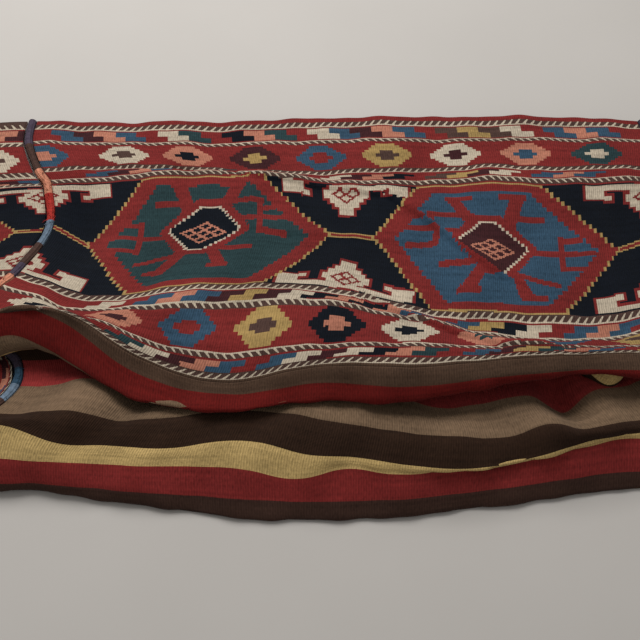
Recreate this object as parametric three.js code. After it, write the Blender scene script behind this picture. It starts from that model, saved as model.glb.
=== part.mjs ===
// A flat-woven bedding bag of the box-shaped kind, lying empty on the floor.
// Millimetres, +Z up. X runs along the bag, -Y is the striped bottom, +Y the open mouth.
// One long strip of cloth is the patterned front panel, the striped bottom and the back panel.
// An end panel closes each end, sewn on along three sides with a wrapped wool seam.
import * as THREE from 'three';
import { mergeVertices } from 'three/addons/utils/BufferGeometryUtils.js';

// The cloth as it was woven.
const BAG_LENGTH = 1030;         // the strip's width, end to end of the bag
const PANEL_HEIGHT = 530;        // front and back panel, rim to bottom
const BOTTOM_DEPTH = 460;        // the striped bottom, front edge to back edge
const CLOTH_THICK = 4;           // the long strip
const END_THICK = 3.4;           // the end panels
const SEAM_RADIUS = 5.6;         // the wrapped seams
const SEAM_GAP = 2;              // a seam lies this far from the cloth it joins

// The tables below count the bag's length, the panels' height and the bottom's depth in
// these many parts, so that the folds follow each size when it is changed.
const LENGTH_PARTS = 1030;
const HEIGHT_PARTS = 530;
const DEPTH_PARTS = 460;
const BACK_FLAT = 40;            // back panel lies flat from this far past the bottom

// How far each end panel folds, from its seam to its fold, in parts of the bottom's depth,
// at these parts of its height.
const LEFT_FOLD_OUT = [215, 210, 200, 150, 95, 50];
const RIGHT_FOLD_IN = [205, 200, 150, 0, -18, -24];
const FOLD_AT = [0, 154, 270, 380, 470, 530];
const TUCKED_TO = 375;           // down to here the right end panel starts inside its seam
const OUTSIDE_FROM = 435;        // and from here down it starts outside it
const FOOT_FROM = 0.72;          // share of the height where the foot begins to turn in
const LEAF_SAG = 0.3;            // a tucked leaf hangs by this share between its seams
const LYING_FROM = 0.5;          // share across where a lower leaf starts to lie down
const LYING_BY = 0.75;           // and where it lies on the floor
const LIFTING_FROM = 0.1;        // share from the back seam where it lifts again

// How the strip lies: a table of offsets, as for a hull. Each line runs along the bag at
// one distance down the cloth (at), from its left edge to its right edge (ends). It gives
// the place (y) and height (z) of the cloth's middle at nine stations between the ends.
// The cloth rises from the rim to the lip, folds back under it, and bulges to the floor.
// Ends are in parts of the length, heights in parts of the depth. On the panels, at and y
// are in parts of the height; on the bottom, in parts of the depth.
const FRONT_LINES = [
  { name: 'rim', at: 0, ends: [-484, 537],
    y: [353, 349, 344, 351, 359, 354, 355, 350, 337],
    z: [12, 14, 20, 16, 14, 22, 22, 27, 30] },
  { name: 'upper hooks', at: 52, ends: [-482, 540],
    y: [300, 296, 292, 298, 305, 302, 300, 298, 293],
    z: [22, 24, 26, 22, 20, 26, 29, 32, 34] },
  { name: 'first narrow band', at: 124, ends: [-456, 534],
    y: [235, 238, 233, 226, 230, 230, 234, 229, 230],
    z: [26, 32, 34, 30, 28, 32, 36, 37, 37] },
  { name: 'top of the field', at: 154, ends: [-446, 530],
    y: [212, 213, 221, 214, 203, 202, 205, 201, 206],
    z: [24, 34, 38, 34, 30, 34, 40, 40, 39] },
  { name: 'middle of the field', at: 270, ends: [-440, 515],
    y: [112, 76, 75, 78, 79, 69, 62, 60, 75],
    z: [28, 46, 56, 52, 46, 48, 49, 48, 45] },
  { name: 'foot of the field', at: 394, ends: [-478, 512],
    y: [0, -54, -44, -34, -46, -80, -81, -84, -60],
    z: [60, 78, 86, 82, 82, 78, 72, 68, 58] },
  { name: 'third narrow band', at: 424, ends: [-492, 512],
    y: [-28, -76, -74, -66, -66, -97, -108, -108, -86],
    z: [74, 88, 94, 90, 90, 86, 80, 76, 64] },
  { name: 'lower hooks', at: 496, ends: [-508, 516],
    y: [-86, -98, -138, -158, -151, -151, -152, -148, -134],
    z: [96, 104, 96, 96, 106, 106, 102, 100, 76] },
];
const BOTTOM_LINES = [
  { name: 'front edge of the bottom', at: 0, ends: [-514, 518],
    y: [-112, -104, -157, -193, -181, -185, -170, -160, -150],
    z: [98, 102, 90, 88, 104, 108, 102, 100, 80] },
  { name: 'first brown and red', at: 32, ends: [-516, 520],
    y: [-138, -112, -178, -212, -200, -208, -190, -180, -176],
    z: [92, 92, 80, 84, 92, 96, 94, 94, 78] },
  { name: 'first red and tan', at: 75, ends: [-518, 520],
    y: [-166, -146, -214, -236, -220, -221, -194, -180, -186],
    z: [76, 68, 70, 80, 78, 79, 80, 84, 71] },
  { name: 'first tan and gold', at: 118, ends: [-498, 490],
    y: [-150, -128, -168, -190, -178, -178, -162, -150, -150],
    z: [61, 58, 62, 72, 69, 70, 70, 72, 61] },
  { name: 'first gold and dark', at: 160, ends: [-462, 472],
    y: [-118, -100, -120, -140, -138, -138, -124, -116, -118],
    z: [48, 50, 54, 60, 60, 60, 59, 57, 50] },
  { name: 'first dark and second red', at: 203, ends: [-438, 464],
    y: [-132, -130, -137, -152, -152, -152, -142, -127, -127],
    z: [34, 35, 42, 48, 49, 49, 45, 39, 38] },
  { name: 'second red and tan', at: 245, ends: [-432, 474],
    y: [-180, -176, -185, -190, -196, -200, -205, -182, -168],
    z: [42, 44, 50, 55, 59, 56, 50, 50, 43] },
  { name: 'second tan and dark', at: 290, ends: [-462, 500],
    y: [-232, -239, -242, -230, -252, -267, -269, -256, -228],
    z: [58, 66, 64, 66, 73, 66, 60, 66, 52] },
  { name: 'second dark and gold', at: 335, ends: [-500, 515],
    y: [-260, -269, -278, -273, -291, -304, -295, -268, -250],
    z: [60, 55, 56, 63, 60, 50, 46, 54, 48] },
  { name: 'second gold and third red', at: 377, ends: [-515, 520],
    y: [-291, -296, -302, -306, -318, -316, -304, -284, -272],
    z: [44, 41, 41, 43, 41, 40, 38, 41, 37] },
  { name: 'third red and last brown', at: 419, ends: [-515, 520],
    y: [-316, -320, -330, -338, -342, -336, -322, -304, -296],
    z: [20, 20, 20, 20, 20, 20, 20, 20, 19] },
];
const BACK_LINES = [
  { name: 'back edge of the bottom', at: 0, ends: [-512, 518],
    y: [-314, -322, -338, -352, -354, -345, -332, -318, -312],
    z: [2.6, 2.6, 2.6, 2.6, 2.6, 2.6, 2.6, 2.6, 2.6] },
  { name: 'back panel on the floor', at: BACK_FLAT, ends: [-510, 516],
    y: [-276, -284, -300, -314, -316, -307, -294, -280, -274],
    z: [0, 0, 0, 0, 0, 0, 0, 0, 0] },
  { name: 'back rim', at: HEIGHT_PARTS, ends: [-500, 508],
    y: [206, 200, 196, 182, 176, 181, 194, 205, 210],
    z: [0, 0, 0, 0, 0, 0, 0, 0, 0] },
];

// How finely each piece is faceted.
const COLUMNS = 32;              // along the bag
const ROW_LENGTH = 21;           // down the cloth
const MOST_ROWS = 6;             // between two lines, on the flat back panel too
const END_COLUMNS = 22;          // across an end panel
const END_ROWS = 16;             // down an end panel
const SEAM_SIDES = 10;
const SEAM_STEPS = 84;
const SEAM_POINTS = 60;          // points that a seam's path takes from the cloth's edge
const TANGENT_STEP = 2;          // mm of cloth used to find a direction
const FOLD_SQUARENESS = 0.5;     // below 1 the fold keeps its two leaves apart

const STRIP_LENGTH = 2 * PANEL_HEIGHT + BOTTOM_DEPTH;
const PER_LENGTH = BAG_LENGTH / LENGTH_PARTS;
const PER_HEIGHT = PANEL_HEIGHT / HEIGHT_PARTS;
const PER_DEPTH = BOTTOM_DEPTH / DEPTH_PARTS;

// Lines of a table in millimetres, from a distance down the strip. Their places are
// measured from the line where their part of the strip is joined to the bottom.
function measured(lines, start, perDown, joinedAt) {
  return lines.map((line) => ({
    at: start + line.at * perDown,
    ends: line.ends.map((x) => x * PER_LENGTH),
    y: line.y.map((y, i) => joinedAt.y[i] * PER_DEPTH + (y - joinedAt.y[i]) * perDown),
    z: line.z.map((z) => Math.max(z * PER_DEPTH, CLOTH_THICK / 2)),
  }));
}

const LINES = [
  ...measured(FRONT_LINES, 0, PER_HEIGHT, BOTTOM_LINES[0]),
  ...measured(BOTTOM_LINES, PANEL_HEIGHT, PER_DEPTH, BOTTOM_LINES[0]),
  ...measured(BACK_LINES, PANEL_HEIGHT + BOTTOM_DEPTH, PER_HEIGHT, BACK_LINES[0]),
];
const STATIONS = LINES[0].y.length;

// Cubic through four values with even knots, at t from the second to the third.
function cubic(a, b, c, d, t) {
  return b + 0.5 * t * (c - a + t * (2 * a - 5 * b + 4 * c - d + t * (3 * (b - c) + d - a)));
}

// A smooth value through a row of numbers, at a place counted in stations.
function alongRow(row, place) {
  const last = row.length - 1;
  const i = Math.min(Math.max(Math.floor(place), 0), last - 1);
  const before = i > 0 ? row[i - 1] : 2 * row[i] - row[i + 1];
  const after = i + 2 <= last ? row[i + 2] : 2 * row[i + 1] - row[i];
  return cubic(before, row[i], row[i + 1], after, place - i);
}

// The line's point at a share of the way along it.
function onLine(line, share) {
  const place = share * (STATIONS - 1);
  return new THREE.Vector3(
    THREE.MathUtils.lerp(line.ends[0], line.ends[1], share),
    alongRow(line.y, place),
    alongRow(line.z, place),
  );
}

// The slope that a smooth curve has at knot i, from its neighbours on both sides.
function slopeAt(points, i) {
  const from = points[Math.max(i - 1, 0)];
  const to = points[Math.min(i + 1, points.length - 1)];
  return to.p.clone().sub(from.p).divideScalar(to.at - from.at);
}

// The middle of the cloth at a share along the bag and a distance down the strip.
function strip(share, down) {
  const at = THREE.MathUtils.clamp(down, 0, STRIP_LENGTH);
  let i = LINES.findIndex((line) => line.at > at) - 1;
  if (i < 0) i = LINES.length - 2;
  const near = LINES.slice(Math.max(i - 1, 0), i + 3).map(
    (line) => ({ at: line.at, p: onLine(line, share) }));
  const k = i > 0 ? 1 : 0;
  const length = near[k + 1].at - near[k].at;
  const t = (at - near[k].at) / length;
  const out = new THREE.Vector3();
  out.addScaledVector(near[k].p, (1 + 2 * t) * (1 - t) ** 2);
  out.addScaledVector(slopeAt(near, k), length * t * (1 - t) ** 2);
  out.addScaledVector(near[k + 1].p, t * t * (3 - 2 * t));
  out.addScaledVector(slopeAt(near, k + 1), length * t * t * (t - 1));
  out.z = Math.max(out.z, CLOTH_THICK / 2);
  return out;
}

// A closed sheet of one thickness round a middle surface, given as a grid of points.
function sheet(middle, thick) {
  const rows = middle.length;
  const columns = middle[0].length;
  const position = [];
  for (const side of [1, -1]) {
    for (let r = 0; r < rows; r += 1) {
      for (let c = 0; c < columns; c += 1) {
        const across = middle[r][Math.min(c + 1, columns - 1)].clone()
          .sub(middle[r][Math.max(c - 1, 0)]);
        const down = middle[Math.min(r + 1, rows - 1)][c].clone()
          .sub(middle[Math.max(r - 1, 0)][c]);
        const out = down.cross(across).normalize();
        position.push(...middle[r][c].clone().addScaledVector(out, side * thick / 2).toArray());
      }
    }
  }
  const top = (r, c) => r * columns + c;
  const under = (r, c) => rows * columns + top(r, c);
  const index = [];
  const quad = (a, b, c, d) => index.push(a, b, c, a, c, d);
  for (let r = 0; r < rows - 1; r += 1) {
    for (let c = 0; c < columns - 1; c += 1) {
      quad(top(r, c), top(r + 1, c), top(r + 1, c + 1), top(r, c + 1));
      quad(under(r, c), under(r, c + 1), under(r + 1, c + 1), under(r + 1, c));
    }
    quad(top(r, 0), under(r, 0), under(r + 1, 0), top(r + 1, 0));
    const e = columns - 1;
    quad(top(r, e), top(r + 1, e), under(r + 1, e), under(r, e));
  }
  for (let c = 0; c < columns - 1; c += 1) {
    quad(top(0, c), top(0, c + 1), under(0, c + 1), under(0, c));
    const e = rows - 1;
    quad(top(e, c), under(e, c), under(e, c + 1), top(e, c + 1));
  }
  const geometry = new THREE.BufferGeometry();
  geometry.setAttribute('position', new THREE.Float32BufferAttribute(position, 3));
  geometry.setIndex(index);
  geometry.computeVertexNormals();
  return geometry;
}

// Direction down the cloth, out of its face, and out past its end, at an edge point.
function edgeFrame(end, down) {
  const share = end < 0 ? 0 : 1;
  const place = strip(share, down);
  const inner = strip(share - end * TANGENT_STEP / BAG_LENGTH, down);
  const along = strip(share, down + TANGENT_STEP).sub(strip(share, down - TANGENT_STEP)).normalize();
  const past = place.clone().sub(inner);
  past.addScaledVector(along, -past.dot(along)).normalize();
  const face = along.clone().cross(past).multiplyScalar(end).normalize();
  return { place, past, face };
}

// The middle of a wrapped seam beside the strip's edge, never lower than the floor.
function seamPoint(end, down) {
  const { place, past } = edgeFrame(end, down);
  place.addScaledVector(past, SEAM_RADIUS + SEAM_GAP);
  place.z = Math.max(place.z, SEAM_RADIUS + SEAM_GAP / 2);
  return place;
}

// The end panel's own edge, past the seam (turn 0) or round it and inside (turn 1).
function endEdge(end, down, turn) {
  const { past, face } = edgeFrame(end, down);
  const reach = SEAM_RADIUS + SEAM_GAP + END_THICK / 2;
  const angle = turn * Math.PI / 2;
  const place = seamPoint(end, down);
  place.addScaledVector(past, reach * Math.cos(angle));
  place.addScaledVector(face, -reach * Math.sin(angle));
  place.z = Math.max(place.z, END_THICK / 2);
  return place;
}

// How far the end panel reaches out to its fold, at a distance down it.
function foldReach(list, down) {
  const last = FOLD_AT.length - 1;
  const part = down / PER_HEIGHT;
  const next = part < FOLD_AT[last] ? FOLD_AT.findIndex((at) => at > part) : last;
  const t = (part - FOLD_AT[next - 1]) / (FOLD_AT[next] - FOLD_AT[next - 1]);
  return THREE.MathUtils.lerp(list[next - 1], list[next], t) * PER_DEPTH;
}

// An end panel: two leaves that meet in a fold down its middle. It is a squared half
// round between the front seam and the back seam at each height, and its foot follows
// the edge of the striped bottom.
function endPanel(end, reaches, tucked) {
  const signed = (value) => Math.sign(value) * Math.abs(value) ** FOLD_SQUARENESS;
  const arch = (across, down) => {
    const angle = Math.PI * across;
    const turn = tucked
      ? 1 - THREE.MathUtils.smoothstep(down / PER_HEIGHT, TUCKED_TO, OUTSIDE_FROM) : 0;
    const front = endEdge(end, down, turn);
    const back = endEdge(end, STRIP_LENGTH - down, turn);
    const place = front.clone().lerp(back, across);
    const reach = foldReach(reaches, down) * Math.sin(angle) ** FOLD_SQUARENESS;
    place.x += reach * (tucked ? -end : end);
    const half = (front.z - back.z) / 2 * (1 - turn * LEAF_SAG * Math.sin(angle));
    place.z = (front.z + back.z) / 2 + half * signed(Math.cos(angle));
    const lying = THREE.MathUtils.smoothstep(across, LYING_FROM, LYING_BY)
      * THREE.MathUtils.smoothstep(1 - across, 0, LIFTING_FROM) * (1 - turn);
    place.z -= (back.z - END_THICK / 2) * lying;
    return place;
  };
  const grid = [];
  for (let r = 0; r <= END_ROWS; r += 1) {
    const down = PANEL_HEIGHT * r / END_ROWS;
    const row = [];
    for (let c = 0; c <= END_COLUMNS; c += 1) {
      const across = c / END_COLUMNS;
      const foot = endEdge(end, PANEL_HEIGHT + BOTTOM_DEPTH * across, 0);
      const pull = THREE.MathUtils.smoothstep(down / PANEL_HEIGHT, FOOT_FROM, 1);
      const place = arch(across, down).lerp(foot, pull);
      place.z = Math.max(place.z, END_THICK / 2);
      row.push(place);
    }
    grid.push(end < 0 ? row.reverse() : row);
  }
  return sheet(grid, END_THICK);
}

// The front panel, the bottom and the back panel in one sheet. A row of facets lies on
// each line of the tables, and others between them.
function longStrip() {
  const rows = [];
  for (let i = 0; i < LINES.length - 1; i += 1) {
    const length = LINES[i + 1].at - LINES[i].at;
    const steps = Math.min(Math.max(Math.round(length / ROW_LENGTH), 1), MOST_ROWS);
    for (let k = 0; k < steps; k += 1) {
      rows.push(LINES[i].at + length * k / steps);
    }
  }
  rows.push(STRIP_LENGTH);
  return sheet(rows.map((down) => Array.from({ length: COLUMNS + 1 },
    (unused, c) => strip(c / COLUMNS, down))), CLOTH_THICK);
}

// A round wrapped seam along one edge of the whole strip.
function wrappedSeam(end) {
  const points = [];
  for (let i = 0; i <= SEAM_POINTS; i += 1) {
    points.push(seamPoint(end, STRIP_LENGTH * i / SEAM_POINTS));
  }
  const outline = new THREE.Shape();
  outline.absarc(0, 0, SEAM_RADIUS, 0, 2 * Math.PI);
  const geometry = new THREE.ExtrudeGeometry(outline, {
    extrudePath: new THREE.CatmullRomCurve3(points),
    steps: SEAM_STEPS,
    curveSegments: SEAM_SIDES / 2,
    bevelEnabled: false,
  });
  geometry.deleteAttribute('normal');
  geometry.deleteAttribute('uv');
  return mergeVertices(geometry);
}

function piece(name, geometry, colour, roughness) {
  const mesh = new THREE.Mesh(geometry, new THREE.MeshStandardMaterial({
    color: colour, roughness, metalness: 0 }));
  mesh.name = name;
  return mesh;
}

const bag = new THREE.Group();
bag.add(
  piece('body_cloth', longStrip(), 0x7d2a28, 0.95),
  piece('left_end_panel', endPanel(-1, LEFT_FOLD_OUT, false), 0x1c2530, 0.95),
  piece('right_end_panel', endPanel(1, RIGHT_FOLD_IN, true), 0x1c2530, 0.95),
  piece('left_seam', wrappedSeam(-1), 0xb9745c, 0.9),
  piece('right_seam', wrappedSeam(1), 0xb9745c, 0.9),
);

// The origin is on the floor under the middle of the bag.
const extent = new THREE.Box3().setFromObject(bag);
const centre = extent.getCenter(new THREE.Vector3());
bag.position.set(-centre.x, -centre.y, -extent.min.z);

export default bag;
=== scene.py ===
# %% [markdown]
# # A flat-woven bedding bag
# The bag is one long strip of patterned and striped wool cloth, with a panel sewn into
# each end. It lies empty on the floor, its front panel up. Every size here is in
# millimetres until a mesh is written, because that is how cloth is measured; Blender
# itself works in metres. The shapes are worked out with numpy as whole arrays, since the
# cloth is a smooth surface over two lengths: how far along the bag, and how far down.

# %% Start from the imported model
import math

import bpy
import numpy as np
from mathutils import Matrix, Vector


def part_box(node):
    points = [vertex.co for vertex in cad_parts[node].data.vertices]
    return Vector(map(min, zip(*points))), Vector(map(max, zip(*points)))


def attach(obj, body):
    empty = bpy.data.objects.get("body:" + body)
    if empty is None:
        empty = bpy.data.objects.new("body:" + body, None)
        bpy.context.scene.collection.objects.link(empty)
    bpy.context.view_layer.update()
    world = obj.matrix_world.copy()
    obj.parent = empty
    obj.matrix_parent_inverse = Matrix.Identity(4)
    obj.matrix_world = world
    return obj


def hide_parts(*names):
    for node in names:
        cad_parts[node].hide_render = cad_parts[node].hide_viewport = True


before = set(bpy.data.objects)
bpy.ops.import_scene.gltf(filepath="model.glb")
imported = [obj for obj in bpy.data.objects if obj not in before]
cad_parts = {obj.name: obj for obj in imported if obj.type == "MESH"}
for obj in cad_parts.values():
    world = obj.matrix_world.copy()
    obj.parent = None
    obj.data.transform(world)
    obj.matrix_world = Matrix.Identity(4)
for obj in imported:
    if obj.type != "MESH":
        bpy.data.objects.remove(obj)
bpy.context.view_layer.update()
MM = 0.001

# %% [markdown]
# ## Sizes
# The strip is a front panel, a bottom and a back panel in one length of cloth. These are
# the sizes that it was woven to.

# %% Sizes of the woven pieces
PANEL_HEIGHT = 530
BOTTOM_DEPTH = 460
STRIP_LENGTH = 2 * PANEL_HEIGHT + BOTTOM_DEPTH
CLOTH_WIDTH = 1030
CLOTH_THICK = 4
END_THICK = 3.4
SEAM_RADIUS = 5.6
SEAM_GAP = 2
BACK_FLAT = 40
print("strip", CLOTH_WIDTH, "x", STRIP_LENGTH, "mm")

# %% [markdown]
# ## How the strip lies
# A table of offsets, as a boat builder writes for a hull: each line runs along the bag at
# one distance down the cloth, from its left edge to its right edge, with the place and
# height of the cloth's middle at nine stations. A table suits this shape because its
# folds were never designed; they are only where the cloth fell.

# %% Lines down the cloth: distance, edges, places y, heights z
FRONT_LINES = [
    (0, (-484, 537), (353, 349, 344, 351, 359, 354, 355, 350, 337),
     (12, 14, 20, 16, 14, 22, 22, 27, 30)),
    (52, (-482, 540), (300, 296, 292, 298, 305, 302, 300, 298, 293),
     (22, 24, 26, 22, 20, 26, 29, 32, 34)),
    (124, (-456, 534), (235, 238, 233, 226, 230, 230, 234, 229, 230),
     (26, 32, 34, 30, 28, 32, 36, 37, 37)),
    (154, (-440, 530), (212, 213, 221, 214, 203, 202, 205, 201, 206),
     (24, 34, 38, 34, 30, 34, 40, 40, 39)),
    (270, (-424, 515), (112, 76, 75, 78, 79, 69, 62, 60, 75),
     (28, 46, 56, 52, 46, 48, 49, 48, 45)),
    (394, (-458, 512), (0, -54, -44, -34, -46, -80, -81, -84, -60),
     (60, 78, 86, 82, 82, 78, 72, 68, 58)),
    (424, (-473, 512), (-28, -76, -74, -66, -66, -97, -108, -108, -86),
     (74, 88, 94, 90, 90, 86, 80, 76, 64)),
    (496, (-495, 516), (-86, -98, -138, -158, -151, -151, -152, -148, -134),
     (96, 104, 96, 96, 106, 106, 102, 100, 76)),
]
BOTTOM_LINES = [
    (0, (-514, 518), (-112, -104, -157, -193, -181, -185, -170, -160, -150),
     (98, 102, 90, 88, 104, 108, 102, 100, 80)),
    (32, (-516, 520), (-138, -112, -178, -212, -200, -208, -190, -180, -176),
     (92, 92, 80, 84, 92, 96, 94, 94, 78)),
    (75, (-518, 520), (-166, -146, -214, -236, -220, -221, -194, -180, -186),
     (76, 68, 70, 80, 78, 79, 80, 84, 71)),
    (118, (-498, 490), (-150, -128, -168, -190, -178, -178, -162, -150, -150),
     (61, 58, 62, 72, 69, 70, 70, 72, 61)),
    (160, (-462, 472), (-118, -100, -120, -140, -138, -138, -124, -116, -118),
     (48, 50, 54, 60, 60, 60, 59, 57, 50)),
    (203, (-438, 464), (-132, -130, -137, -152, -152, -152, -142, -127, -127),
     (34, 35, 42, 48, 49, 49, 45, 39, 38)),
    (245, (-432, 474), (-180, -176, -185, -190, -196, -200, -205, -182, -168),
     (42, 44, 50, 55, 59, 56, 50, 50, 43)),
    (290, (-462, 500), (-232, -239, -242, -230, -252, -267, -269, -256, -228),
     (58, 66, 64, 66, 73, 66, 60, 66, 52)),
    (335, (-500, 515), (-260, -269, -278, -273, -291, -304, -295, -268, -250),
     (60, 55, 56, 63, 60, 50, 46, 54, 48)),
    (377, (-515, 520), (-291, -296, -302, -306, -318, -316, -304, -284, -272),
     (44, 41, 41, 43, 41, 40, 38, 41, 37)),
    (419, (-515, 520), (-316, -320, -330, -338, -342, -336, -322, -304, -296),
     (20, 20, 20, 20, 20, 20, 20, 20, 19)),
]
BACK_LINES = [
    (0, (-512, 518), (-314, -322, -338, -352, -354, -345, -332, -318, -312), (2.6,) * 9),
    (BACK_FLAT, (-510, 516), (-276, -284, -300, -314, -316, -307, -294, -280, -274), (2,) * 9),
    (PANEL_HEIGHT, (-500, 508), (206, 200, 196, 182, 176, 181, 194, 205, 210), (2,) * 9),
]
LINES = (FRONT_LINES
         + [(at + PANEL_HEIGHT, *rest) for at, *rest in BOTTOM_LINES]
         + [(at + PANEL_HEIGHT + BOTTOM_DEPTH, *rest) for at, *rest in BACK_LINES])
AT, ENDS, PLACES, HEIGHTS = (np.array(column, float) for column in zip(*LINES))
print(len(LINES), "lines down the cloth")


# %% The strip as a function of two lengths
def along_rows(rows, share):
    """Smooth values through each row: a Catmull-Rom cubic between its stations."""
    last = rows.shape[1] - 1
    before = 2 * rows[:, :1] - rows[:, 1:2]
    after = 2 * rows[:, -1:] - rows[:, -2:-1]
    padded = np.concatenate([before, rows, after], axis=1)
    i = np.clip(np.floor(share * last).astype(int), 0, last - 1)
    t = share * last - i
    a, b, c, d = (padded[:, i + k] for k in range(4))
    return b + 0.5 * t * (c - a + t * (2 * a - 5 * b + 4 * c - d + t * (3 * (b - c) + d - a)))


def strip(share, down):
    """The cloth's middle, rows down by columns along: a cubic Hermite curve through the
    lines, whose slope at each line is that of the chord between its neighbours."""
    knots = np.stack([ENDS[:, :1] + (ENDS[:, 1:] - ENDS[:, :1]) * share,
                      along_rows(PLACES, share), along_rows(HEIGHTS, share)], axis=-1)
    low = np.maximum(np.arange(len(AT)) - 1, 0)
    high = np.minimum(np.arange(len(AT)) + 1, len(AT) - 1)
    slope = (knots[high] - knots[low]) / (AT[high] - AT[low])[:, None, None]
    at = np.clip(down, 0, STRIP_LENGTH)
    i = np.clip(np.searchsorted(AT, at, side="right") - 1, 0, len(AT) - 2)
    gap = (AT[i + 1] - AT[i])[:, None, None]
    t = (at - AT[i])[:, None, None] / gap
    place = ((1 + 2 * t) * (1 - t) ** 2 * knots[i] + gap * t * (1 - t) ** 2 * slope[i]
             + t * t * (3 - 2 * t) * knots[i + 1] + gap * t * t * (t - 1) * slope[i + 1])
    place[..., 2] = np.maximum(place[..., 2], CLOTH_THICK / 2)
    return place


edge_check = strip(np.array([0.0, 1.0]), np.array([0.0, STRIP_LENGTH]))
print("rim ends", edge_check[0].round(), "back rim ends", edge_check[1].round())

# %% [markdown]
# ## Creases
# Between the big folds the cloth has small ones: a soft ridge that runs slantwise over
# the right medallion, a tuck under the upper border, ripples where the lip is pulled.
# Each is a ridge along a broken line on the cloth, steep on its lower side, so one
# function draws them all. Long low waves keep the rest from looking ironed. Where the
# cloth is pushed up, sags or opens into a hollow, a broad bell-shaped push moves it.

# %% Ridges and ripples in the cloth
CREASES = [  # points (along, down), height, half width above, half width below
    ([(330, 150), (436, 161), (514, 168), (588, 182)], 7, 16, 5),
    ([(588, 182), (624, 204), (658, 232), (692, 263), (734, 293), (790, 325)], 9, 26, 6),
    ([(312, 244), (414, 257), (516, 270)], 4, 20, 8),
    ([(560, 380), (588, 390), (652, 420), (726, 452), (768, 480), (850, 490)], 7, 20, 5),
    ([(300, 488), (376, 480), (482, 486)], 5, 22, 12),
    ([(78, 395), (138, 470), (190, 520)], -5, 16, 16),
    ([(120, 128), (200, 132), (290, 134)], -5, 8, 8),
    ([(860, 60), (930, 110), (1000, 150)], 4, 22, 22),
    ([(540, 20), (560, 90), (590, 150)], 3, 40, 30),
    ([(250, 20), (262, 70), (240, 120)], 3, 34, 40),
]
RIPPLES = [  # height, waves along the bag, waves down the panel, start
    (1.5, 5.3, 1.1, 0.3), (1.1, 8.7, -1.9, 1.7), (0.8, 13.1, 3.7, 4.0), (0.5, 21.0, -5.5, 2.2)]
CREASE_END_LOSS = 0.6   # share of its height that a crease loses at its ends
CREASE_FADE = 40        # and the length over which it gets that back
BULGES = [  # place (along, down), half widths, how far the cloth is pushed (x, y, z)
    ((330, 520), (90, 50), (0, -9, 0)),
    ((150, 530), (70, 60), (0, 10, 10)),
    ((62, 584), (60, 46), (0, 34, 22)),
    ((64, 262), (38, 66), (0, 0, -12)),
    ((870, 426), (150, 26), (0, -15, 0)),
    ((966, 705), (46, 50), (0, -70, -4)),
    ((890, 772), (38, 30), (0, -30, -30)),
    ((832, 822), (36, 28), (0, 10, 8)),
    ((685, 775), (60, 28), (0, -14, -12)),
    ((940, 748), (34, 26), (-6, 0, 12)),
    ((120, 800), (40, 45), (0, 4, 8)),
    ((205, 780), (35, 40), (0, -6, -14)),
    ((56, 865), (45, 30), (0, 10, 10)),
    ((150, 865), (45, 24), (0, -6, -3)),
    ((300, 865), (80, 24), (0, -6, -4)),
    ((490, 865), (50, 24), (0, -7, -3)),
    ((740, 865), (110, 24), (0, -9, 0)),
    ((467, 907), (40, 22), (0, -6, -3)),
    ((554, 907), (45, 22), (0, 9, 6)),
    ((800, 907), (120, 22), (0, 13, 4)),
    ((950, 905), (60, 24), (0, 13, 6)),
    ((610, 992), (330, 45), (0, -13, 0)),
]
EDGE_HELD = 30   # the seams hold the cloth: it lies plain there, and free past this length


def free_of_seams(u):
    """Nought at the two sewn edges, one where the seams no longer hold, straight between."""
    return np.clip(np.minimum(u, CLOTH_WIDTH - u) / EDGE_HELD, 0, 1)


def bulges(u, v):
    """Broad pushes on the cloth: each a bell curve in both directions, none at the seams."""
    total = np.zeros(u.shape + (3,))
    for (along, down), (wide, deep), push in BULGES:
        bell = np.exp(-((u - along) / wide) ** 2 - ((v - down) / deep) ** 2)
        total += bell[..., None] * np.array(push, float)
    return total * free_of_seams(u)[..., None]


def crease(u, v, points, height, above, below):
    """A ridge along a broken line: a bell curve of the distance to it, each side its own
    width, and lower near the line's two ends."""
    best = np.full(u.shape, 1e9)
    side = np.ones(u.shape)
    for (u0, v0), (u1, v1) in zip(points, points[1:]):
        du, dv = u1 - u0, v1 - v0
        length = math.hypot(du, dv)
        t = np.clip(((u - u0) * du + (v - v0) * dv) / length ** 2, 0, 1)
        distance = np.hypot(u - u0 - t * du, v - v0 - t * dv)
        nearer = distance < best
        best = np.where(nearer, distance, best)
        side = np.where(nearer, np.sign((v - v0) * du - (u - u0) * dv), side)
    fade = np.ones(u.shape)
    for u_end, v_end in (points[0], points[-1]):
        fade *= 1 - CREASE_END_LOSS * np.exp(-np.hypot(u - u_end, v - v_end) / CREASE_FADE)
    width = np.where(side > 0, below, above)
    return height * fade * np.exp(-(best / width) ** 2)


def relief(u, v):
    """How far the cloth stands off its plain surface: ripples and creases added up."""
    total = np.zeros(u.shape)
    for height, along, down, start in RIPPLES:
        turns = along * u / CLOTH_WIDTH + down * v / PANEL_HEIGHT
        total += height * np.sin(2 * np.pi * turns + start)
    for points, height, above, below in CREASES:
        total += crease(u, v, points, height, above, below)
    return total * free_of_seams(u)


print(len(CREASES), "creases and", len(BULGES), "pushes")

# %% [markdown]
# ## Dyed wool
# The pattern is woven, not printed: every patch is yarn of one colour, and its slanting
# edges go in steps, because a weft turns back round a warp. So the pattern is painted
# cell by cell with plain shapes whose edges are rounded to steps. Only the rows of small
# hooks are finer than a cell, so the material draws those. Colours are written as sRGB
# hex, the way a dye card shows them, and turned to linear light once.

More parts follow.
